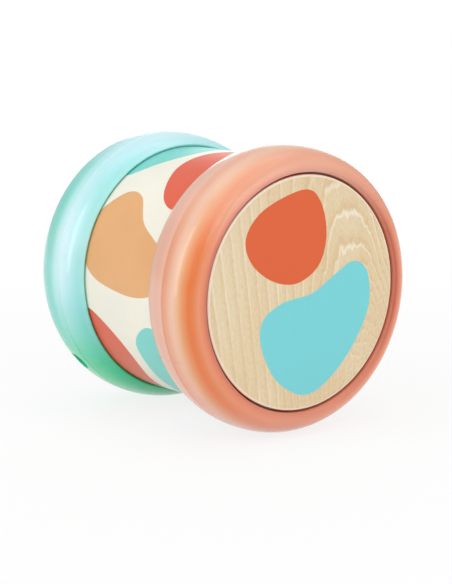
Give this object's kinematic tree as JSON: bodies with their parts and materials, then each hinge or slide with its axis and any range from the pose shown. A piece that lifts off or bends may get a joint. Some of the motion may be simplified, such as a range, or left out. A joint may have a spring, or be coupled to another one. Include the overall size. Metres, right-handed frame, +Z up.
{
  "type": "toy drum",
  "caption": "Baby rolling drum: printed barrel between hollow translucent rings, a sprung wooden tap head and a rear service cover.",
  "frame": {"origin": "on the floor under the middle of the drum, lying on its two rings", "axes": "+X along the drum axis towards the wooden head, +Z up"},
  "size_m": [0.123, 0.13, 0.13],
  "materials": {
    "wood": "satin lacquered plywood with painted patches",
    "coral_plastic": "translucent gloss",
    "teal_plastic": "translucent gloss",
    "printed_sleeve": "satin printed wrap",
    "frame_plastic": "moulded",
    "cream_plastic": "fine moulded texture",
    "steel": "plated",
    "board": "solder mask",
    "led": "clear",
    "black_plastic": "moulded",
    "cell": "plain shrink sleeve"
  },
  "bodies": {
    "drum": {"head_springs": "steel", "front_frame": "frame_plastic", "tap_board": "board", "tap_switch": "black_plastic", "front_light_board": "board", "front_leds": "led", "coral_ring_front": "coral_plastic", "coral_ring_back": "coral_plastic", "barrel_tube": "frame_plastic", "barrel_sleeve": "printed_sleeve", "tube_screws": "steel", "rear_frame": "frame_plastic", "teal_ring_outer": "teal_plastic", "teal_ring_back": "teal_plastic", "teal_ring_screws": "steel", "rear_light_board": "board", "rear_leds": "led", "rear_cover": "cream_plastic", "speaker_basket": "steel", "speaker_cone": "black_plastic", "speaker_magnet": "steel", "batteries": "cell", "battery_contacts": "steel", "main_board": "board", "board_parts": "black_plastic", "power_switch_body": "black_plastic"},
    "head": {"drum_head": "wood", "head_tray": "frame_plastic", "tray_screws": "steel"},
    "door": {"battery_door": "cream_plastic", "door_screw": "steel"},
    "switch": {"power_knob": "coral_plastic"}
  },
  "joints": [
    {"name": "head_press", "type": "slide", "parent": "drum", "child": "head", "axis": [-1, 0, 0], "range_m": [0, 0.0012], "stiffness_N_per_m": 2000, "springref_m": -0.001, "deforming": ["head_springs"]},
    {"name": "power_slide", "type": "slide", "parent": "drum", "child": "switch", "axis": [0, 1, 0], "range_m": [0, 0.004]},
    {"name": "door_lift", "type": "slide", "parent": "drum", "child": "door", "axis": [-1, 0, 0], "range_m": [0, 0.03]}
  ]
}
